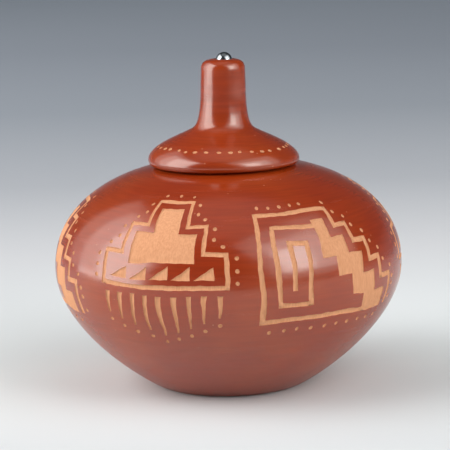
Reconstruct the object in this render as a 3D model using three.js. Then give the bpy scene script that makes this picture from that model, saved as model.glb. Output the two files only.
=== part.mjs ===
// A hand-built redware pottery bowl with a lift-off lid. The lid is one piece of clay with
// its tall knob, and a polished bead is cemented into the knob's top.
// Millimetres, +Z up. The origin is the centre of the flat that the bowl rests on.

import * as THREE from 'three';

// Driving dimensions of the bowl
const bellyRadius = 52.5; // the widest part
const bellyHeight = 36.4; // of the widest part, above the table
const footRadius = 22; // the flat that the bowl rests on
const flankAngle = 26; // degrees, how steeply the wall leaves the flat
const flankReach = 8.3; // how far the wall keeps to that angle
const lowerFullness = 16.4; // how far below the belly the wall stays upright
const upperFullness = 20; // how far above the belly the wall stays upright
const shoulderReach = 13.8; // how far the shoulder stays nearly level outside its seat
const shoulderAngle = 6.7; // degrees, the shoulder's fall just outside the seat
const wall = 4.6;
const floorThickness = 5.4;

// Driving dimensions of the mouth and the lid's seat round it
const mouthRadius = 14.5;
const mouthHeight = 66.6; // of the seat, above the table
const mouthRounding = 0.8; // the worn edge between the mouth and the seat
const seatWidth = 3.4; // the flat ring that carries the lid

// Driving dimensions of the lid
const lidRadius = 22.8;
const lidEdgeHeight = 1.6; // of the lid's widest point, above its underside
const lidEdgeReach = 1.8; // how far the rounded edge stands out past the flat underside
const domeFullness = 4.2; // how far above the widest point the edge stays upright
const domeRise = 9.35; // from the widest point to where the knob starts
const domeReach = 3; // how far the dome keeps to its slope below the knob
const domeAngle = 34.5; // degrees, the dome's slope where the knob starts
const flangeClearance = 0.8; // between the lid's locating ring and the mouth
const playUsed = 0.75; // share of that clearance by which the lid has slid over
const flangeDepth = 4.2;
const flangeWall = 2.8;
const flangeRounding = 0.7;
const hollowRise = 5.2; // of the hollow inside the locating ring, above the seat
const hollowReach = 6.5; // how far the hollow's ceiling stays level from its middle
const hollowFullness = 2.6; // how far the hollow's side stays upright above the seat
const lidLean = 0.9; // degrees, how far the hand-made lid leans over above its underside

// Driving dimensions of the knob
const knobFootRadius = 9.2; // where it grows out of the dome
const knobFootReach = 1.9; // how far the dome's slope runs on into the flare
const knobNeckRadius = 6.8; // where its flare ends
const knobTopRadius = 6.6;
const knobFlareHeight = 13;
const knobFlareReach = 8; // how far below the neck the flare stays nearly upright
const knobHeight = 20.3; // from the top of the dome to the top of the knob
const knobRounding = 2.1;

// Driving dimensions of the bead and its setting
const beadRadius = 2.5;
const beadSink = 0.15; // how far the bead's centre lies below the knob's top
const cementBelow = 0.5; // under the bead
const cementBeside = 0.25; // round the bead's middle
const cementRecess = 0.7; // from the knob's top down to the cement
const fitGap = 0.05; // between the bead, its cement and the socket

// Facets
const roundSteps = 60; // round the pot
const smallSteps = 24; // round the bead and its cement
const curveSteps = 11; // along each long curve that shows
const insideSteps = 7; // along each long curve inside the bowl
const arcSteps = 3; // along each short rounding
const cornerHandle = 0.6; // share of a soft corner that its curve's handles take

const levels = {
  seat: mouthHeight,
  lidEdge: mouthHeight + lidEdgeHeight,
  domeTop: mouthHeight + lidEdgeHeight + domeRise,
  knobTop: mouthHeight + lidEdgeHeight + domeRise + knobHeight,
};
const flangeRadius = mouthRadius - flangeClearance;
const socketRadius = beadRadius + fitGap + cementBeside + fitGap;
const beadCentre = levels.knobTop - beadSink;
const cementFloor = beadCentre - beadRadius - fitGap - cementBelow;
const socketFloor = cementFloor - fitGap;

const lidShift = -playUsed * flangeClearance;
const leanAxis = new THREE.Vector3(0, 1, 0);

const burnishedSlip = new THREE.MeshStandardMaterial({
  color: '#9a4029',
  roughness: 0.22,
  metalness: 0,
});
const polishedBead = new THREE.MeshStandardMaterial({
  color: '#4a4c4e',
  roughness: 0.06,
  metalness: 1,
});
const clearCement = new THREE.MeshStandardMaterial({
  color: '#b9a68a',
  roughness: 0.4,
  metalness: 0,
});

// A point at a length and an angle in degrees from another, in the plane of radius and height.
function away(from, length, degrees) {
  const turn = THREE.MathUtils.degToRad(degrees);
  return new THREE.Vector2(from.x + length * Math.cos(turn), from.y + length * Math.sin(turn));
}

function at(radius, height) {
  return new THREE.Vector2(radius, height);
}

// One cubic curve as points, without its first point, which the outline already holds.
function curve(from, leaving, arriving, to, steps) {
  return new THREE.CubicBezierCurve(from, leaving, arriving, to).getPoints(steps).slice(1);
}

// A quarter round about a centre, without its first point.
function quarter(centre, radius, fromDegrees, toDegrees) {
  const turn = THREE.MathUtils.degToRad;
  const clockwise = toDegrees < fromDegrees;
  const arc = new THREE.EllipseCurve(
    centre.x, centre.y, radius, radius, turn(fromDegrees), turn(toDegrees), clockwise,
  );
  return arc.getPoints(arcSteps).slice(1);
}

// Turns an outline of radius and height round the pot's upright axis.
function turned(outline, steps) {
  const geometry = new THREE.LatheGeometry(outline, steps);
  geometry.rotateX(Math.PI / 2);
  return geometry;
}

// The bowl's wall from its foot over the belly to the shoulder's inner end. The inside
// follows the same curves, in by the wall.
function wallCurve(foot, belly, top, steps) {
  const share = belly.x / bellyRadius;
  return [
    foot,
    ...curve(foot, away(foot, flankReach * share, flankAngle),
      at(belly.x, belly.y - lowerFullness * share), belly, steps),
    ...curve(belly, at(belly.x, belly.y + upperFullness * share),
      away(top, shoulderReach * share, -shoulderAngle), top, steps),
  ];
}

function bowlOutline() {
  const seatInner = mouthRadius + mouthRounding;
  const seatOuter = seatInner + seatWidth;
  const outside = wallCurve(
    at(footRadius, 0),
    at(bellyRadius, bellyHeight),
    at(seatOuter, levels.seat),
    curveSteps,
  );
  const ceiling = levels.seat - wall;
  const inside = wallCurve(
    at(footRadius - wall / 2, floorThickness),
    at(bellyRadius - wall, bellyHeight),
    at(seatInner, ceiling),
    insideSteps,
  ).reverse();
  return [
    at(0, 0),
    ...outside,
    at(seatInner, levels.seat),
    ...quarter(at(seatInner, levels.seat - mouthRounding), mouthRounding, 90, 180),
    at(mouthRadius, ceiling + mouthRounding),
    ...quarter(at(seatInner, ceiling + mouthRounding), mouthRounding, 180, 270),
    ...inside.slice(1),
    at(0, floorThickness),
  ];
}

function lidOutline() {
  const flangeInner = flangeRadius - flangeWall;
  const flangeEnd = levels.seat - flangeDepth;
  const ceiling = at(0, levels.seat + hollowRise);
  const hollowSide = at(flangeInner, levels.seat);
  const underside = at(lidRadius - lidEdgeReach, levels.seat);
  const edge = at(lidRadius, levels.lidEdge);
  const knobFoot = at(knobFootRadius, levels.domeTop);
  const knobNeck = at(knobNeckRadius, levels.domeTop + knobFlareHeight);
  const knobShoulder = at(knobTopRadius, levels.knobTop - knobRounding);
  return [
    ceiling,
    ...curve(ceiling, at(hollowReach, ceiling.y), at(flangeInner, levels.seat + hollowFullness),
      hollowSide, insideSteps),
    at(flangeInner, flangeEnd + flangeRounding),
    ...quarter(at(flangeInner + flangeRounding, flangeEnd + flangeRounding), flangeRounding, 180, 270),
    at(flangeRadius - flangeRounding, flangeEnd),
    ...quarter(at(flangeRadius - flangeRounding, flangeEnd + flangeRounding), flangeRounding, -90, 0),
    at(flangeRadius, levels.seat),
    underside,
    ...curve(underside, at(underside.x + lidEdgeReach * cornerHandle, underside.y),
      at(edge.x, edge.y - lidEdgeHeight * cornerHandle), edge, arcSteps),
    ...curve(edge, at(lidRadius, levels.lidEdge + domeFullness),
      away(knobFoot, domeReach, -domeAngle), knobFoot, curveSteps),
    ...curve(knobFoot, away(knobFoot, knobFootReach, 180 - domeAngle),
      at(knobNeckRadius, knobNeck.y - knobFlareReach), knobNeck, curveSteps),
    knobShoulder,
    ...quarter(at(knobTopRadius - knobRounding, knobShoulder.y), knobRounding, 0, 90),
    at(socketRadius, levels.knobTop),
    at(socketRadius, socketFloor),
    at(0, socketFloor),
  ];
}

// The cement fills the socket round the bead's lower half, up to a little below the top.
function cementOutline() {
  const outer = socketRadius - fitGap;
  const top = levels.knobTop - cementRecess;
  const cup = beadRadius + fitGap;
  const lipAngle = THREE.MathUtils.radToDeg(Math.asin((top - beadCentre) / cup));
  const lip = away(at(0, beadCentre), cup, lipAngle);
  const arc = new THREE.EllipseCurve(
    0, beadCentre, cup, cup,
    THREE.MathUtils.degToRad(lipAngle), THREE.MathUtils.degToRad(-90), true,
  );
  const seat = arc.getPoints(arcSteps * 2).slice(1, -1);
  return [
    at(0, cementFloor),
    at(outer, cementFloor),
    at(outer, top),
    lip,
    ...seat,
    at(0, beadCentre - cup),
  ];
}

// Everything above the lid's flat underside leans over about the middle of that flat.
function leaned(geometry) {
  const places = geometry.attributes.position;
  const place = new THREE.Vector3();
  const pivot = new THREE.Vector3(0, 0, levels.seat);
  for (let i = 0; i < places.count; i += 1) {
    place.fromBufferAttribute(places, i).sub(pivot);
    const share = THREE.MathUtils.clamp(place.z / lidEdgeHeight, 0, 1);
    place.applyAxisAngle(leanAxis, share * THREE.MathUtils.degToRad(lidLean)).add(pivot);
    places.setXYZ(i, place.x, place.y, place.z);
  }
  return geometry;
}

function named(name, geometry, material) {
  const mesh = new THREE.Mesh(geometry, material);
  mesh.name = name;
  return mesh;
}

const bowl = named('bowl', turned(bowlOutline(), roundSteps), burnishedSlip);
const lid = named('lid', leaned(turned(lidOutline(), roundSteps)), burnishedSlip);
const cement = named('bead_cement', turned(cementOutline(), smallSteps), clearCement);
const bead = named(
  'inlaid_bead',
  new THREE.SphereGeometry(beadRadius, smallSteps, smallSteps / 2).rotateX(Math.PI / 2),
  polishedBead,
);

// The bead and its cement lean with the knob. Heights in this group count from the seat.
const setting = new THREE.Group();
setting.position.z = levels.seat;
setting.rotation.y = THREE.MathUtils.degToRad(lidLean);
cement.position.z = -levels.seat;
bead.position.z = beadCentre - levels.seat;
setting.add(cement, bead);

const lidGroup = new THREE.Group();
lidGroup.position.x = lidShift;
lidGroup.add(lid, setting);

const liddedBowl = new THREE.Group();
liddedBowl.add(bowl, lidGroup);

export default liddedBowl;
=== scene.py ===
import math
from bisect import bisect
from random import Random

import bmesh
import bpy
from mathutils import Matrix, Vector, kdtree, noise
from mathutils.geometry import delaunay_2d_cdt, interpolate_bezier


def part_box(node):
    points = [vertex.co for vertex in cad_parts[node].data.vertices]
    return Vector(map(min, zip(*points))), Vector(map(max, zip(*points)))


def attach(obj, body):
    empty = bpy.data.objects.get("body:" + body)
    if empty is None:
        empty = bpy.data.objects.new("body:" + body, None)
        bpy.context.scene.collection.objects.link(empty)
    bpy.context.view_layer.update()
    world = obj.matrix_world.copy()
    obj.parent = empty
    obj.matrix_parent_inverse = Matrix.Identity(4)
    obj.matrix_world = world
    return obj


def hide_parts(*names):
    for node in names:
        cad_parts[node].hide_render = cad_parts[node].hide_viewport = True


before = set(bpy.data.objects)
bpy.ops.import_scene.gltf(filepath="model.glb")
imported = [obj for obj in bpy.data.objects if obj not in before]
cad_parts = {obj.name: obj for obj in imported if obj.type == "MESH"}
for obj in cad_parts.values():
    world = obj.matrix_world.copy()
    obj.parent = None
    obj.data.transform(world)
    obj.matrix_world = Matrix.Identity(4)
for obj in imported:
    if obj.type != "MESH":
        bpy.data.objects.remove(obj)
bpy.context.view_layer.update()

# The camera: a long lens a little above the pot and square to its front. The pot stands a
# little anticlockwise in the frame, so the camera is rolled by as much the other way.
aim_height = 0.052
camera_distance = 0.6
camera_elevation = math.radians(9.5)
camera_roll = math.radians(-1.47)
frame_pixels = 450
focal_pixels = 1981
pixels_right_of_middle = 2.1  # where the point at the aim height lands in the frame
pixels_below_middle = -14.0

camera_data = bpy.data.cameras.new("camera")
camera_data.sensor_width = 36
camera_data.lens = camera_data.sensor_width * focal_pixels / frame_pixels
camera_data.clip_start = 0.01
camera_data.clip_end = 50
camera = bpy.data.objects.new("camera", camera_data)
bpy.context.scene.collection.objects.link(camera)
bpy.context.scene.camera = camera
camera.matrix_world = (
    Matrix.Translation((
        0,
        -camera_distance * math.cos(camera_elevation),
        aim_height + camera_distance * math.sin(camera_elevation),
    ))
    @ Matrix.Rotation(math.pi / 2 - camera_elevation, 4, "X")
    @ Matrix.Rotation(camera_roll, 4, "Z")
    @ Matrix.Rotation(math.atan(pixels_right_of_middle / focal_pixels), 4, "Y")
    @ Matrix.Rotation(math.atan(pixels_below_middle / focal_pixels), 4, "X")
)

# The bowl: one vessel of red clay, built up by hand from coils and scraped even. A fine red
# slip is rubbed with a smooth stone until it shines, and the design is scratched through it,
# down to the tan clay, before the firing. Lengths are in millimetres up to the last line.
metres = 0.001
belly_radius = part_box("bowl")[1].x / metres
seat_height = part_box("bowl")[1].z / metres
belly_height = 36.4
foot_radius = 22.6
wall = 4.6
floor_thickness = 5.4
mouth_radius = 14.5
mouth_rounding = 0.8
seat_width = 3.4
foot_rounding = 1.2  # how far from the foot's corner its worn rounding starts
flank_reach = 8.3  # how far the wall keeps to its angle as it leaves the foot
flank_angle = 26
lower_fullness = 16.4  # how far below the belly the wall stays upright
upper_fullness = 20  # and how far above it
shoulder_reach = 13.8  # how far the shoulder keeps to its fall outside the seat
shoulder_angle = 6.7
lip_easing = 0.2  # how far past its rounding the mouth's worn edge is eased
corner_handle = 0.6  # the share of a soft corner that its curve's handles take
round_steps = 288
wall_step = 1.15  # from row to row up the wall
scratch_depth = 0.22
scratch_side = 0.1  # how far a scratch's side slopes in
hand_step = 0.7  # from point to point along a scratched line
slow_shake = 0.9  # how far the hand strays from a ruled line
slow_shake_length = 11  # how far it moves on meanwhile
fast_shake = 0.22
fast_shake_length = 2.2
noise.seed_set(3)  # the hand strays the same way at every run

# A piece of clay has three surfaces, by their places in its list of materials. Each point of it
# keeps its length along the wall, which the slip's strokes follow.
slipped, scratched_bare, left_raw = 0, 1, 2
raw_along = 60  # where the surfaces without slip start to count


def away(start, length, degrees):
    """The point at a length and an angle from another."""
    turn = math.radians(degrees)
    return start + length * Vector((math.cos(turn), math.sin(turn)))


def curve(start, leaving, arriving, end, points=240):
    """One cubic curve of radius and height, as points."""
    return list(interpolate_bezier(start, leaving, arriving, end, points))


def wall_curve(foot, belly, top):
    """The bowl's wall from its foot over the belly to the seat, as two curves."""
    share = belly.x / belly_radius
    lower = curve(
        foot, away(foot, flank_reach * share, flank_angle),
        belly - Vector((0, lower_fullness * share)), belly,
    )
    upper = curve(
        belly, belly + Vector((0, upper_fullness * share)),
        away(top, shoulder_reach * share, -shoulder_angle), top,
    )
    return lower, upper


def corner_curve(before, corner, after, points=7):
    """A soft corner between two lines."""
    leaving, arriving = before.lerp(corner, corner_handle), after.lerp(corner, corner_handle)
    return curve(before, leaving, arriving, after, points)


def measured(path, zero=0):
    """How far along a path each of its points lies from one of them."""
    total = [0.0]
    for here, there in zip(path, path[1:]):
        total.append(total[-1] + (there - here).length)
    return [length - total[zero] for length in total]


def point_along(path, lengths, length):
    """The point at that length along a path, and the way out of the wall there."""
    after = min(max(bisect(lengths, length), 1), len(path) - 1)
    span = lengths[after] - lengths[after - 1]
    way = (path[after] - path[after - 1]).normalized()
    share = (length - lengths[after - 1]) / span
    return path[after - 1].lerp(path[after], share), Vector((way.y, -way.x))


def stretch(path, lengths, low, high):
    """Even points along part of a path."""
    count = max(1, round((high - low) / wall_step))
    marks = [low + (high - low) * place / count for place in range(count + 1)]
    return [point_along(path, lengths, mark)[0] for mark in marks]


def spun(clay, outline, first_length=0, surface=slipped, steps=round_steps):
    """Turns an outline round the upright axis. Each point keeps its length along the wall."""
    along = clay.verts.layers.float.get("along") or clay.verts.layers.float.new("along")
    before = set(clay.faces)
    corners = [clay.verts.new((point.x, 0, point.y)) for point in outline]
    for corner, length in zip(corners, measured(outline)):
        corner[along] = first_length + length
    edges = [clay.edges.new(pair) for pair in zip(corners, corners[1:])]
    bmesh.ops.spin(
        clay, geom=corners + edges, cent=(0, 0, 0), axis=(0, 0, 1), dvec=(0, 0, 0),
        angle=math.tau, steps=steps, use_merge=True, use_normal_flip=False, use_duplicate=False,
    )
    for face in set(clay.faces) - before:
        face.material_index = surface


def drawn_by_hand(outline):
    """A closed outline in short steps, anticlockwise, shaken as a hand would scratch it."""
    turns = sum(here.cross(there) for here, there in zip(outline, outline[1:] + outline[:1]))
    outline = outline if turns > 0 else outline[::-1]
    shaken = []
    for here, there in zip(outline, outline[1:] + outline[:1]):
        pieces = max(1, round((there - here).length / hand_step))
        for piece in range(pieces):
            point = here.lerp(there, piece / pieces)
            slow = noise.noise_vector(point.to_3d() / slow_shake_length)
            fast = noise.noise_vector(point.to_3d() / fast_shake_length + Vector((0, 0, 30)))
            shaken.append(point + slow_shake * slow.to_2d() + fast_shake * fast.to_2d())
    return shaken


def scratched_band(clay, path, lengths, radius, low, high, steps, outlines, seam=0):
    """A band of the wall with outlines scratched into it. It is cut out flat, as wide as the
    wall is round at that radius, and then wrapped. No spin or bisect can follow drawn lines
    and keep the shine even beside them, so the flat sheet is cut in triangles. Its ends meet
    so many columns from the back, where no outline crosses them."""
    along = clay.verts.layers.float["along"]
    drawn = [point for outline in outlines for point in outline]
    near = kdtree.KDTree(len(drawn))
    for place, point in enumerate(drawn):
        near.insert(point.to_3d(), place)
    near.balance()
    half_width = math.pi * radius
    rows = round((high - low) / wall_step)
    points = []
    for row in range(rows + 1):
        for column in range(steps + 1):
            across = half_width * (2 * (column + seam) / steps - 1)
            point = Vector((across, low + (high - low) * row / rows))
            at_edge = row in (0, rows) or column in (0, steps)
            if at_edge or near.find(point.to_3d())[2] > wall_step / 2:
                points.append(point)
    loops = []
    for outline in outlines:
        loops.append(list(range(len(points), len(points) + len(outline))))
        points += outline
    flat_points, _, triangles, _, _, sources = delaunay_2d_cdt(points, [], loops, 0, 1e-5, True)
    corners = [clay.verts.new(point.to_3d()) for point in flat_points]
    scratched = []
    for triangle, source in zip(triangles, sources):
        face = clay.faces.new([corners[place] for place in triangle])
        face.normal_update()
        if source:
            scratched.append(face)
    sides = bmesh.ops.inset_region(
        clay, faces=scratched, use_even_offset=True, thickness=scratch_side,
        depth=-scratch_depth,
    )["faces"]
    for face in scratched + sides:
        face.material_index = scratched_bare
    for corner in {corner for face in scratched + sides for corner in face.verts} | set(corners):
        point, out = point_along(path, lengths, corner.co.y)
        turn = corner.co.x / radius
        corner[along] = corner.co.y
        place = point + corner.co.z * out
        corner.co = place.x * math.sin(turn), -place.x * math.cos(turn), place.y


def fired(clay, name, materials):
    """Closes the seams, turns the faces out, splits the shine at the scratches' edges and
    makes the piece, in metres."""
    bmesh.ops.remove_doubles(clay, verts=clay.verts, dist=0.005)
    bmesh.ops.recalc_face_normals(clay, faces=clay.faces)
    for face in clay.faces:
        face.smooth = True
    for edge in clay.edges:
        surfaces = {face.material_index for face in edge.link_faces}
        edge.smooth = surfaces != {slipped, scratched_bare}
    bmesh.ops.scale(clay, vec=(metres, metres, metres), verts=clay.verts)
    mesh = bpy.data.meshes.new(name)
    clay.to_mesh(mesh)
    clay.free()
    for material in materials:
        mesh.materials.append(material)
    piece = bpy.data.objects.new(name, mesh)
    bpy.context.scene.collection.objects.link(piece)
    return piece


def linear(code):
    """A colour written as sRGB hex, as the linear values that Blender takes."""
    shares = [int(code[place:place + 2], 16) / 255 for place in (1, 3, 5)]
    return [
        share / 12.92 if share <= 0.04045 else ((share + 0.055) / 1.055) ** 2.4
        for share in shares
    ] + [1]


def add(tree, kind, inputs=(), stops=(), **settings):
    """Adds a node with its settings, and sets or links its inputs. Inputs 1 to 4 of a Map
    Range are the two ends of what comes in, and then of what goes out."""
    made = tree.nodes.new("ShaderNode" + kind)
    for name, value in settings.items():
        setattr(made, name, value)
    for name, value in dict(inputs).items():
        if isinstance(value, bpy.types.NodeSocket):
            tree.links.new(value, made.inputs[name])
        else:
            made.inputs[name].default_value = value
    for place, (position, code) in enumerate(stops):
        ramp = made.color_ramp.elements
        stop = ramp[place] if place < 2 else ramp.new(position)
        stop.position = position
        stop.color = linear(code)
    return made


def new_material(name):
    """A material with an empty tree of nodes, and that tree."""
    material = bpy.data.materials.new(name)
    material.use_nodes = True
    material.node_tree.nodes.clear()
    return material, material.node_tree


def finish_with(tree, shader):
    """Ends a tree with its shader."""
    add(tree, "OutputMaterial", {"Surface": shader.outputs[0]})


# Red iron slip, burnished with a stone. It shines like glaze, but in long faint strokes round
# the pot, a few millimetres wide, with clouds of a more orange red and a few light grains. The
# stone is pressed less near the foot, which is duller and shows no strokes. The slip's own
# grain, under a tenth of a millimetre, keeps its real size, because it isn't there to be seen
# but to soften the shine.
slip, tree = new_material("burnished_red_slip")
place_mm = add(tree, "VectorMath", {
    0: add(tree, "TexCoord").outputs["Object"], "Scale": 1 / metres,
}, operation="SCALE").outputs[0]
axes = add(tree, "SeparateXYZ", {0: place_mm}).outputs
along_mm = add(tree, "Attribute", attribute_name="along").outputs["Fac"]


def strokes(round_mm, across_mm, detail):
    """A pattern of strokes round the pot, of about this length and width."""
    across = add(tree, "Math", {0: along_mm, 1: round_mm / across_mm}, operation="MULTIPLY")
    vector = add(tree, "CombineXYZ", {"X": axes["X"], "Y": axes["Y"], "Z": across.outputs[0]})
    return add(tree, "TexNoise", {
        "Vector": vector.outputs[0], "Scale": 1 / round_mm, "Detail": detail,
    }).outputs["Fac"]


broad = strokes(26, 3.4, 2)
fine = strokes(12, 0.8, 3)
clouds = add(tree, "TexNoise", {"Vector": place_mm, "Scale": 1 / 21, "Detail": 2})
cloudy = add(tree, "ValToRGB", {0: clouds.outputs["Fac"]}, stops=[
    (0.34, "#912e0d"), (0.68, "#9c390f"), (0.52, "#95320c"),
])
streaked = add(tree, "MapRange", {0: fine, 1: 0.3, 2: 0.7, 3: 0.9, 4: 1.08})
streaky = add(tree, "VectorMath", {
    0: cloudy.outputs[0], "Scale": streaked.outputs[0],
}, operation="SCALE")
grains = add(tree, "TexVoronoi", {"Vector": place_mm, "Scale": 1 / 4.6})
grain = add(tree, "MapRange", {0: grains.outputs["Distance"], 1: 0.03, 2: 0.062, 3: 0.5, 4: 0})
slip_colour = add(tree, "Mix", {
    0: grain.outputs[0], 6: streaky.outputs[0], 7: linear("#d08a66"),
}, data_type="RGBA")
shine = add(tree, "MapRange", {0: broad, 1: 0.3, 2: 0.7, 3: 0.14, 4: 0.23})
duller_foot = add(tree, "MapRange", {0: along_mm, 1: -30, 2: -10, 3: 0.33, 4: 0.15})
shine_or_foot = add(tree, "Math", {
    0: shine.outputs[0], 1: duller_foot.outputs[0],
}, operation="MAXIMUM")
fine_grain = add(tree, "TexNoise", {"Vector": place_mm, "Scale": 1 / 0.08, "Detail": 0})
grainy = add(tree, "MapRange", {0: fine_grain.outputs["Fac"], 1: 0.3, 2: 0.7, 3: -0.06, 4: 0.06})
dulled = add(tree, "Math", {0: shine_or_foot.outputs[0], 1: grainy.outputs[0]})
fine_height = add(tree, "Math", {0: fine, 1: 0.000006}, operation="MULTIPLY")
height = add(tree, "Math", {
    0: broad, 1: 0.000045, 2: fine_height.outputs[0],
}, operation="MULTIPLY_ADD")
smoother_foot = add(tree, "MapRange", {0: along_mm, 1: -42, 2: -20, 3: 0.08, 4: 1})
relief = add(tree, "Bump", {
    "Height": height.outputs[0], "Distance": 1.0, "Strength": smoother_foot.outputs[0],
})
finish_with(tree, add(tree, "BsdfPrincipled", {
    "Base Color": slip_colour.outputs[2], "Roughness": dulled.outputs[0],
    "IOR": 1.78, "Specular Tint": linear("#fffdf5"), "Normal": relief.outputs[0],
}))

# Fired clay under the slip, scratched bare with a point: matt and tan, with fine strokes.
scratched_clay, tree = new_material("scratched_tan_clay")
place_mm = add(tree, "VectorMath", {
    0: add(tree, "TexCoord").outputs["Object"], "Scale": 1 / metres,
}, operation="SCALE").outputs[0]
strokes_mm = add(tree, "Mapping", {
    "Vector": place_mm, "Rotation": (0.2, 0.65, 0.5), "Scale": (2.2, 2.2, 0.32),
})
marks = add(tree, "TexNoise", {"Vector": strokes_mm.outputs[0], "Scale": 1, "Detail": 3})
tan = add(tree, "ValToRGB", {0: marks.outputs["Fac"]}, stops=[
    (0.3, "#cb8b60"), (0.72, "#dc9f75"), (0.5, "#d4956b"),
])
relief = add(tree, "Bump", {
    "Height": marks.outputs["Fac"], "Distance": 0.00005, "Strength": 1.0,
})
finish_with(tree, add(tree, "BsdfPrincipled", {
    "Base Color": tan.outputs[0], "Roughness": 0.92, "Normal": relief.outputs[0],
}))

# The same clay inside the bowl, wiped smooth with a wet hand and left without slip.
raw_clay, tree = new_material("wiped_raw_clay")
place_mm = add(tree, "VectorMath", {
    0: add(tree, "TexCoord").outputs["Object"], "Scale": 1 / metres,
}, operation="SCALE").outputs[0]
smoke = add(tree, "TexNoise", {"Vector": place_mm, "Scale": 1 / 16, "Detail": 3})
grit = add(tree, "TexNoise", {"Vector": place_mm, "Scale": 1 / 0.7, "Detail": 3})
smoked = add(tree, "ValToRGB", {0: smoke.outputs["Fac"]}, stops=[
    (0.3, "#8e5236"), (0.7, "#b5704b"),
])
gritty = add(tree, "MapRange", {0: grit.outputs["Fac"], 1: 0.3, 2: 0.7, 3: 0.85, 4: 1.1})
raw_colour = add(tree, "VectorMath", {
    0: smoked.outputs[0], "Scale": gritty.outputs[0],
}, operation="SCALE")
relief = add(tree, "Bump", {
    "Height": grit.outputs["Fac"], "Distance": 0.00012, "Strength": 1.0,
})
finish_with(tree, add(tree, "BsdfPrincipled", {
    "Base Color": raw_colour.outputs[0], "Roughness": 0.9, "Normal": relief.outputs[0],
}))

# The scratched design runs round the pot three times. It is made of common stepped figures:
# a rain cloud of three steps over falling rain, and a stair with a squared coil. Its lengths
# are in millimetres round the belly, to the right, and up the wall from there.
design_low = -18.0
design_high = 42.0
line = 1.3
coil_line = 1.5
dot_radius = 0.65
repeat_width = math.tau * belly_radius / 3
cloud_across = -20.3  # the figures' middles, round the belly from the front
stair_across = 33
seam_columns = 7  # from the back to where no figure crosses


def line_through(points, width):
    """A line through the points, as one block for each straight stretch."""
    blocks = []
    for here, there in zip(points, points[1:]):
        here, there = Vector(here), Vector(there)
        way = (there - here).normalized() * width / 2
        side = Vector((-way.y, way.x))
        blocks.append([
            here - way - side, there + way - side, there + way + side, here - way + side,
        ])
    return blocks


def outline_of(*points):
    return [Vector(point) for point in points]


def dot(across, up, radius=dot_radius):
    corners = 10
    return [
        away(Vector((across, up)), radius, 360 * corner / corners) for corner in range(corners)
    ]


def stair(left, low, run, rise, count):
    """The points of a stair that climbs to the right, from the foot of its first step."""
    points = [(left, low)]
    for step in range(count):
        top = low + rise * (step + 1)
        points += [(left + run * step, top), (left + run * (step + 1), top)]
    return points


def mound(middle, low, half, rise, run, count):
    """The outline of a mound with steps on both sides."""
    left_side = stair(middle - half, low, run, rise, count)[:-1]
    return left_side + [(2 * middle - across, up) for across, up in reversed(left_side)]


def rain_cloud(middle):
    """Three steps in outline round a solid core, over a row of teeth, with dots outside it
    and rain below."""
    low, half, rise, run, inset = 2.5, 19.5, 9.2, 6.2, 2.7
    drop_pitch, drop_length, drop_half, tip_half = 4.4, 13, 0.85, 0.28
    tiers = mound(middle, low, half, rise, run, 3)
    shapes = line_through(tiers + tiers[:1], line)
    core_low = low + rise - inset + 0.1
    shapes.append(outline_of(*mound(middle, core_low, half - inset - run, rise, run, 2)))
    teeth = 5
    pitch = 2 * (half - inset) / teeth
    for tooth in range(teeth):
        left = middle - half + inset + pitch * tooth
        right, bottom = left + 0.86 * pitch, low + inset - 0.6
        shapes.append(outline_of((left, bottom), (right, bottom), (right, low + rise - 3.4)))
    for step in range(3):
        for side in (-1, 1):
            edge = middle + side * (half + 2.9 - run * step)
            top = low + rise * (step + 1)
            shapes += [dot(edge, top - 4.6), dot(edge, top - 1.2)]
            shapes.append(dot(edge - side * 3.6, top + 2.5))
            if step == 0:
                shapes.append(dot(edge, top - 8))
    shapes.append(dot(middle, low + rise * 3 + 2.8))
    for drop in range(-4, 5):
        across, top = middle + drop_pitch * drop, low - 2.4
        bottom = top - drop_length + 1.7 * abs(drop)
        shapes.append(outline_of(
            (across - drop_half, top), (across - tip_half, bottom),
            (across + tip_half, bottom), (across + drop_half, top),
        ))
        shapes.append(dot(across, bottom - 2.4))
    return shapes


def coiled_stair(middle):
    """A solid stair inside a stepped line, which runs on round a squared coil at its left."""
    left, low, run, rise, count, gap = middle - 21, -9, 5, 6, 5, 3.3
    right = left + run * count
    top = low + rise * count + gap
    climb = stair(left, low, run, rise, count)
    under = [(across, up - rise) for across, up in stair(left + 2 * run, low + rise, run, rise, 3)]
    shapes = [outline_of(*climb, *reversed(under))]
    frame_line = stair(left - gap, low + 0.75, run, rise, count)
    frame_line = frame_line[:1] + [(across, up + gap - 0.75) for across, up in frame_line[1:-1]]
    frame_line += [(right + 19.5, top), (right + 19.5, low + 0.75), (left + 9.5, low + 0.75)]
    coil = [
        (right - 1, top - 5.2), (right + 14.6, top - 5.2), (right + 14.6, low + 5.6),
        (right + 4.8, low + 5.6), (right + 4.8, top - 10.2), (right + 9.8, top - 10.2),
        (right + 9.8, low + 10.5),
    ]
    shapes += line_through(frame_line, coil_line) + line_through(coil, coil_line)
    for step in range(count):
        across, up = left - gap + run * step, low + gap + rise * (step + 1)
        shapes += [dot(across - 2.6, up - 1.2), dot(across - 1.2, up + 2.4)]
    for place in range(2):
        shapes.append(dot(left - gap - 2.8, low + 1.6 + 4 * place))
    for place in range(5):
        shapes.append(dot(right + 0.4 + 4.4 * place, top + 2.8))
    for place in range(10):
        shapes.append(dot(left + 1 + 4.6 * place, low - 2.9))
    return [[Vector((2 * middle - point.x, point.y)) for point in shape] for shape in shapes]


shapes = []
for repeat in (-1, 0, 1):
    shapes += rain_cloud(repeat * repeat_width + cloud_across)
    shapes += coiled_stair(repeat * repeat_width + stair_across)

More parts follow.
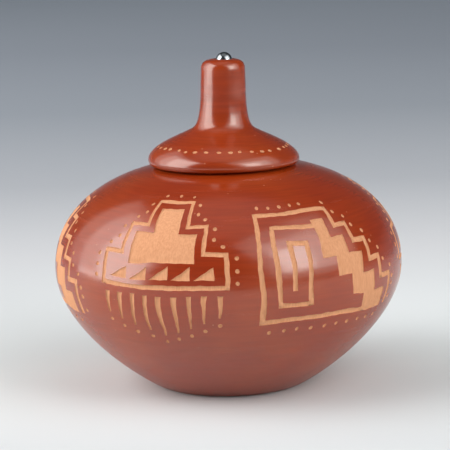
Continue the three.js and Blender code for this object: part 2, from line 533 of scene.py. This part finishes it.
bowl = bmesh.new()
foot = Vector((foot_radius, 0))
belly = Vector((belly_radius, belly_height))
seat_inner = mouth_radius + mouth_rounding
seat = Vector((seat_inner + seat_width, seat_height))
lower, upper = wall_curve(foot, belly, seat)
outside = lower + upper[1:]
lengths = measured(outside, len(lower) - 1)
flank = point_along(outside, lengths, lengths[0] + foot_rounding)[0]
underside = [Vector((radius, 0)) for radius in range(0, 20, 2)]
spun(
    bowl,
    underside + corner_curve(foot - Vector((foot_rounding, 0)), foot, flank)
    + stretch(outside, lengths, lengths[0] + foot_rounding, design_low)[1:],
    lengths[0] - foot_radius,
)
ceiling = seat_height - wall
lip_top = corner_curve(
    Vector((seat_inner + lip_easing, seat_height)), Vector((mouth_radius, seat_height)),
    Vector((mouth_radius, seat_height - mouth_rounding - lip_easing)),
)
lip_low = corner_curve(
    Vector((mouth_radius, ceiling + mouth_rounding)), Vector((mouth_radius, ceiling)),
    Vector((seat_inner, ceiling)),
)
spun(bowl, stretch(outside, lengths, design_high, lengths[-1]) + lip_top, design_high)
inner_lower, inner_upper = wall_curve(
    Vector((foot_radius - wall / 2, floor_thickness)),
    Vector((belly_radius - wall, belly_height)),
    Vector((seat_inner, ceiling)),
)
inside = (inner_lower + inner_upper[1:])[::-1]
inside_lengths = measured(inside)
spun(
    bowl,
    [lip_top[-1]] + lip_low + stretch(inside, inside_lengths, 0, inside_lengths[-1])[1:]
    + [Vector((radius, floor_thickness)) for radius in range(18, -1, -2)],
    raw_along, left_raw,
)
scratched_band(
    bowl, outside, lengths, belly_radius, design_low, design_high, round_steps,
    [drawn_by_hand(shape) for shape in shapes], seam_columns,
)
bowl_piece = fired(bowl, "burnished_bowl", [slip, scratched_clay, raw_clay])
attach(bowl_piece, "bowl_body")
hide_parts("bowl")

# The lid: one piece of the same clay, a domed disc with a tall knob, pinched up and scraped.
# It sits on the bowl's seat, a little off centre, and leans over a little. A ring under it
# drops into the mouth. Its slip is burnished too, and a row of dots is pecked through it.
lid_radius = 22.8
lid_edge = Vector((lid_radius, seat_height + 1.6))
lid_edge_reach = 1.8  # how far the rounded edge stands out past the flat underside
dome_fullness = 4.2  # how far above its widest line the lid's edge stays upright
dome_reach = 3  # how far the dome keeps to its angle below the knob
dome_angle = 34.5
knob_foot = Vector((9.2, lid_edge.y + 9.35))
knob_foot_reach = 1.9  # how far the dome's slope runs on into the knob's flare
knob_neck = Vector((6.8, knob_foot.y + 13))
knob_neck_reach = 8  # how far the flare stays nearly upright below the neck
knob_top = knob_foot.y + 20.3
knob_top_radius = 6.6
knob_rounding = 2.1
knob_crown = 0.35  # how far the knob's top rises to the bead
socket_shift = 0.35  # how far off the knob's middle the bead is set
socket_shift_reach = 3  # over how much of the knob's top that shift grows
knob_rim_width = 0.3  # the worn edges of the knob's top and of the socket
ring_clearance = 0.8  # between the ring and the mouth
ring_radius = mouth_radius - ring_clearance
ring_wall = 2.8
ring_end = seat_height - 4.2
ring_rounding = 0.7
ring_fillet = 0.5  # between the ring and the lid's underside
hollow_top = seat_height + 5.2
hollow_reach = 6.5  # how far the hollow's ceiling stays level
hollow_fullness = 2.6  # how far above the seat its side stays upright
lid_shift = -0.6
lid_lean = math.radians(0.9)
socket_radius = 2.85
socket_floor = 94.6
rim_along = -2.6  # the rounded edge's length before the lid's widest line
socket_along = 90
lid_steps = 192
dots_low = 2.0
dots_high = 11.0
dots_length = 5.6  # from the lid's widest line up to the row of dots
dots_radius = 20.7
dot_count = 36


def leaned(clay):
    """Leans everything above the lid's flat underside over about the middle of that flat, and
    moves it with the lid, which has slid as far as its ring lets it. The socket was drilled
    a little off the knob's middle."""
    for corner in clay.verts:
        if corner.co.z > socket_floor - 0.1:
            reach = math.hypot(corner.co.x, corner.co.y)
            inward = (knob_top_radius - knob_rim_width - reach) / socket_shift_reach
            corner.co.x += socket_shift * min(max(inward, 0), 1)
        share = min(max((corner.co.z - seat_height) / (lid_edge.y - seat_height), 0), 1)
        pivot = Vector((0, 0, seat_height))
        corner.co = Matrix.Rotation(share * lid_lean, 3, "Y") @ (corner.co - pivot) + pivot
        corner.co.x += lid_shift


lid = bmesh.new()
dome = curve(
    lid_edge, lid_edge + Vector((0, dome_fullness)),
    away(knob_foot, dome_reach, -dome_angle), knob_foot,
)
flare = curve(
    knob_foot, away(knob_foot, knob_foot_reach, 180 - dome_angle),
    knob_neck - Vector((0, knob_neck_reach)), knob_neck,
)
knob_shoulder = Vector((knob_top_radius, knob_top - knob_rounding))
knob_inner = Vector((knob_top_radius - knob_rounding, knob_top))
knob_corner = [
    away(Vector((knob_inner.x, knob_shoulder.y)), knob_rounding, angle)
    for angle in range(0, 73, 9)
]
upside = dome + flare[1:] + knob_corner
upside_lengths = measured(upside)
rim = corner_curve(
    Vector((lid_radius - lid_edge_reach, seat_height)), Vector((lid_radius, seat_height)),
    lid_edge, 9,
)
spun(
    lid, rim[:-1] + stretch(upside, upside_lengths, 0, dots_low),
    first_length=rim_along, steps=lid_steps,
)
chance = Random(5)
lid_dots = []
for place in range(dot_count):
    across = math.tau * dots_radius * ((place + 0.5) / dot_count - 0.5)
    centre = Vector((across + chance.uniform(-0.5, 0.5), dots_length + chance.uniform(-0.2, 0.2)))
    size = chance.uniform(0.52, 0.74)
    lid_dots.append([
        centre + Vector((1.2 * point.x, 0.85 * point.y)) for point in dot(0, 0, size)
    ])
crown_top = knob_top + knob_crown
crown = curve(
    knob_corner[-1], away(knob_corner[-1], 0.8, 162),
    Vector((socket_radius + 1, crown_top - 0.03)),
    Vector((socket_radius + knob_rim_width, crown_top)), 7,
)
knob_rim = crown[1:-1] + corner_curve(
    Vector((socket_radius + knob_rim_width, crown_top)), Vector((socket_radius, crown_top)),
    Vector((socket_radius, crown_top - knob_rim_width)), 5,
)
spun(
    lid, stretch(upside, upside_lengths, dots_high, upside_lengths[-1]) + knob_rim,
    first_length=dots_high, steps=lid_steps,
)
ring_inner = ring_radius - ring_wall
hollow = curve(
    Vector((0, hollow_top)), Vector((hollow_reach, hollow_top)),
    Vector((ring_inner, seat_height + hollow_fullness)), Vector((ring_inner, seat_height)), 16,
)
ring_end_curves = corner_curve(
    Vector((ring_inner, ring_end + ring_rounding)), Vector((ring_inner, ring_end)),
    Vector((ring_inner + ring_rounding, ring_end)),
) + corner_curve(
    Vector((ring_radius - ring_rounding, ring_end)), Vector((ring_radius, ring_end)),
    Vector((ring_radius, ring_end + ring_rounding)),
)
spun(
    lid,
    hollow + ring_end_curves
    + corner_curve(
        Vector((ring_radius, seat_height - ring_fillet)), Vector((ring_radius, seat_height)),
        Vector((ring_radius + ring_fillet, seat_height)), 4,
    )
    + [Vector((radius, seat_height)) for radius in (16, 18, 20)] + rim[:1],
    raw_along, left_raw, lid_steps,
)
spun(
    lid, [knob_rim[-1], Vector((socket_radius, socket_floor)), Vector((0, socket_floor))],
    socket_along, left_raw, lid_steps,
)
scratched_band(
    lid, upside, upside_lengths, dots_radius, dots_low, dots_high, lid_steps,
    [drawn_by_hand(shape) for shape in lid_dots],
)
leaned(lid)
lid_piece = fired(lid, "burnished_lid", [slip, scratched_clay, raw_clay])
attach(lid_piece, "lid_body")
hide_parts("lid")

# The cement: a drop of clear adhesive in the drilled socket, which wets the bead's lower half
# and has set with a hollow surface between the bead and the socket's edge.
bead_radius = 2.5
bead_centre = Vector((0, knob_top - 0.15))
fit_gap = 0.05  # between the bead, its cement and the socket
cup_radius = bead_radius + fit_gap
cement_side = socket_radius - fit_gap
cement_floor = socket_floor + fit_gap
cement_top = knob_top - 0.7
cup_steps = 12
bead_steps = 64

cement = bmesh.new()
lip_angle = math.degrees(math.asin((cement_top - bead_centre.y) / cup_radius))
cup = [
    away(bead_centre, cup_radius, lip_angle + (-90 - lip_angle) * step / cup_steps)
    for step in range(cup_steps + 1)
]
cement_outline = [Vector((0, cement_floor)), Vector((cement_side, cement_floor))]
cement_outline += [Vector((cement_side, cement_top))] + cup
spun(cement, cement_outline, steps=bead_steps)
leaned(cement)

# Clear epoxy, a little yellow with age and dusty on top: a soft gloss that is only half clear.
epoxy, tree = new_material("set_clear_epoxy")
place_mm = add(tree, "VectorMath", {
    0: add(tree, "TexCoord").outputs["Object"], "Scale": 1 / metres,
}, operation="SCALE").outputs[0]
dust = add(tree, "TexNoise", {"Vector": place_mm, "Scale": 1 / 0.4, "Detail": 2})
dusty = add(tree, "ValToRGB", {0: dust.outputs["Fac"]}, stops=[
    (0.35, "#9c8468"), (0.7, "#c9b596"),
])
finish_with(tree, add(tree, "BsdfPrincipled", {
    "Base Color": dusty.outputs[0], "Roughness": 0.3, "IOR": 1.55,
    "Transmission Weight": 0.3,
}))
cement_piece = fired(cement, "bead_adhesive", [epoxy])
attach(cement_piece, "lid_body")
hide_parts("bead_cement")

# The bead: a ball of dark stone, ground round and polished to a mirror. It was drilled for a
# thread, and it is set with the hole upright, so only the cement meets it.
bead = bmesh.new()
bead_outline = [away(bead_centre, bead_radius, angle) for angle in range(-90, 91, 5)]
spun(bead, bead_outline, steps=bead_steps)
leaned(bead)

# Polished haematite: a dark grey mirror with a trace of cloud and hardly any scratches.
haematite, tree = new_material("polished_haematite")
place_mm = add(tree, "VectorMath", {
    0: add(tree, "TexCoord").outputs["Object"], "Scale": 1 / metres,
}, operation="SCALE").outputs[0]
cloud = add(tree, "TexNoise", {"Vector": place_mm, "Scale": 1 / 1.5, "Detail": 3})
grey = add(tree, "ValToRGB", {0: cloud.outputs["Fac"]}, stops=[
    (0.3, "#94999c"), (0.7, "#a4a9ac"),
])
polish = add(tree, "MapRange", {0: cloud.outputs["Fac"], 1: 0.3, 2: 0.7, 3: 0.1, 4: 0.16})
finish_with(tree, add(tree, "BsdfPrincipled", {
    "Base Color": grey.outputs[0], "Metallic": 1.0, "Roughness": polish.outputs[0],
}))
bead_piece = fired(bead, "polished_bead", [haematite])
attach(bead_piece, "lid_body")
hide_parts("inlaid_bead")

# The floor: a wide sheet of matt white paper with no gloss at all. Painted shade turns it grey far
# behind the pot and under the lamps at the left.
paper_radius = 4.0
paper = bmesh.new()
bmesh.ops.create_circle(paper, cap_ends=True, segments=96, radius=paper_radius)
paper_mesh = bpy.data.meshes.new("paper_floor")
paper.to_mesh(paper_mesh)
paper.free()
paper_floor = bpy.data.objects.new("paper_floor", paper_mesh)
bpy.context.scene.collection.objects.link(paper_floor)
matt_paper, tree = new_material("paper_graded_with_painted_shade")
place = add(tree, "TexCoord").outputs["Object"]
ways = add(tree, "SeparateXYZ", {0: place}).outputs
# The paper's grey from in front of the pot to far behind it is painted light and shade, graded as
# light on a backdrop falls off. It is painted whitest under the pot, where the pot's shadow falls,
# and painted dark behind the camera, where only the pot's gloss shows it.
share = add(tree, "MapRange", {0: ways["Y"], 1: -1.2, 2: 2, 3: 0, 4: 1})
graded = add(tree, "ValToRGB", {0: share.outputs[0]}, stops=[
    (0.0, "#444649"), (1.0, "#ccd5e0"), (0.12, "#515456"), (0.19, "#adb0b1"),
    (0.22, "#d6d9da"), (0.35, "#d6d9da"), (0.38, "#e6ebea"), (0.44, "#d4d5d7"),
    (0.5, "#b8bbc0"), (0.6, "#a9afb7"), (0.75, "#b0b7c1"),
])
# Painted shade: the paper is made greyer under the lamps at the left, to hold back their light on
# it.
painted_shade_at_left = add(tree, "MapRange", {0: ways["X"], 1: -1.3, 2: -0.4, 3: 0.2, 4: 1})
paper_colour = add(tree, "VectorMath", {
    0: graded.outputs[0], "Scale": painted_shade_at_left.outputs[0],
}, operation="SCALE")
finish_with(tree, add(tree, "BsdfPrincipled", {
    "Base Color": paper_colour.outputs[0], "Roughness": 0.8, "Specular IOR Level": 0.0,
}))
paper_mesh.materials.append(matt_paper)

# The light: one tall soft box at the left, one small one in front at the right, each brighter
# in its middle and so made of three lamps, a low strip at the left that carries the tall box
# on down in the pot's gloss, a weak fill overhead, and the dim grey room, whose ceiling is a
# little lighter.
def soft_box(name, azimuth, elevation, distance, width, height, radiance):
    """A flat lamp that faces the pot. Azimuth counts from the camera's side to the right."""
    data = bpy.data.lights.new(name, "AREA")
    data.shape = "RECTANGLE"
    data.size = width
    data.size_y = height
    data.energy = radiance * math.pi * width * height
    lamp = bpy.data.objects.new(name, data)
    turn, tilt = math.radians(azimuth), math.radians(elevation)
    way = Vector((
        math.sin(turn) * math.cos(tilt), -math.cos(turn) * math.cos(tilt), math.sin(tilt),
    ))
    lamp.matrix_world = (
        Matrix.Translation(way * distance + Vector((0, 0, 0.04)))
        @ way.to_track_quat("Z", "Y").to_matrix().to_4x4()
    )
    lamp.visible_camera = False
    bpy.context.scene.collection.objects.link(lamp)
    return lamp


# The angles are in degrees, and the distance, width and height in metres.
soft_box("left_soft_box", -76, 26, 1.6, 1.16, 1.65, 2.5)
soft_box("left_soft_box_middle", -87, 28, 1.6, 1.75, 1.73, 1.35)
soft_box("left_soft_box_edge", -92, 30, 1.6, 2.62, 1.89, 0.75)
left_soft_box_foot = soft_box("left_soft_box_foot", -84, -1, 0.9, 1.0, 0.05, 4.0)
left_soft_box_foot.visible_diffuse = False  # only the gloss shows it
soft_box("right_soft_box", 47, 27, 1.1, 0.46, 0.5, 3.1)
soft_box("right_soft_box_middle", 56, 32, 1.1, 0.85, 0.85, 1.7)
soft_box("right_soft_box_edge", 60, 36, 1.1, 1.5, 1.3, 0.95)
overhead_fill = soft_box("overhead_fill", 0, 90, 1.2, 1.8, 1.8, 0.21)
overhead_fill.visible_glossy = False

world = bpy.data.worlds.new("grey_room")
world.use_nodes = True
bpy.context.scene.world = world
tree = world.node_tree
tree.nodes.clear()
upwards = add(tree, "SeparateXYZ", {0: add(tree, "TexCoord").outputs["Generated"]})
room = add(tree, "ValToRGB", {0: upwards.outputs["Z"]}, stops=[
    (0.0, "#8e9398"), (1.0, "#a9abad"), (0.1, "#707479"), (0.19, "#4c5054"),
    (0.5, "#43464a"), (0.85, "#45484b"), (0.92, "#9c9ea0"),
])
background = add(tree, "Background", {"Color": room.outputs[0], "Strength": 1.0})
add(tree, "OutputWorld", {"Surface": background.outputs[0]})

bpy.context.scene.view_settings.view_transform = "Standard"
